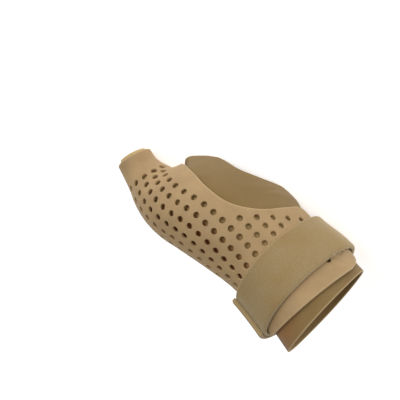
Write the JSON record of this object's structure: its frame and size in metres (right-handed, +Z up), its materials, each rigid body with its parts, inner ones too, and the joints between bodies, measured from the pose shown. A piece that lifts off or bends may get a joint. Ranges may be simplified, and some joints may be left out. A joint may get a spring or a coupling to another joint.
{
  "type": "thumb spica splint",
  "caption": "Perforated moulded thumb splint in its worn form: a beige shell over a thin olive liner sleeve, held at the wrist by a hook-and-loop strap.",
  "frame": {"origin": "middle of the bounding box in plan, at floor level", "axes": "+Y along the splint from the forearm rim to the thumb rim, +X to the side the back of the hand faces, +Z up"},
  "size_m": [0.0608, 0.1428, 0.0758],
  "materials": {
    "shell": "matt skin-coloured thermoplastic sheet",
    "liner": "soft olive-tan lining cloth",
    "strap": "brushed olive-tan loop pile"
  },
  "bodies": {
    "root": {"shell": "shell", "liner": "liner", "strap": "strap"}
  },
  "joints": []
}
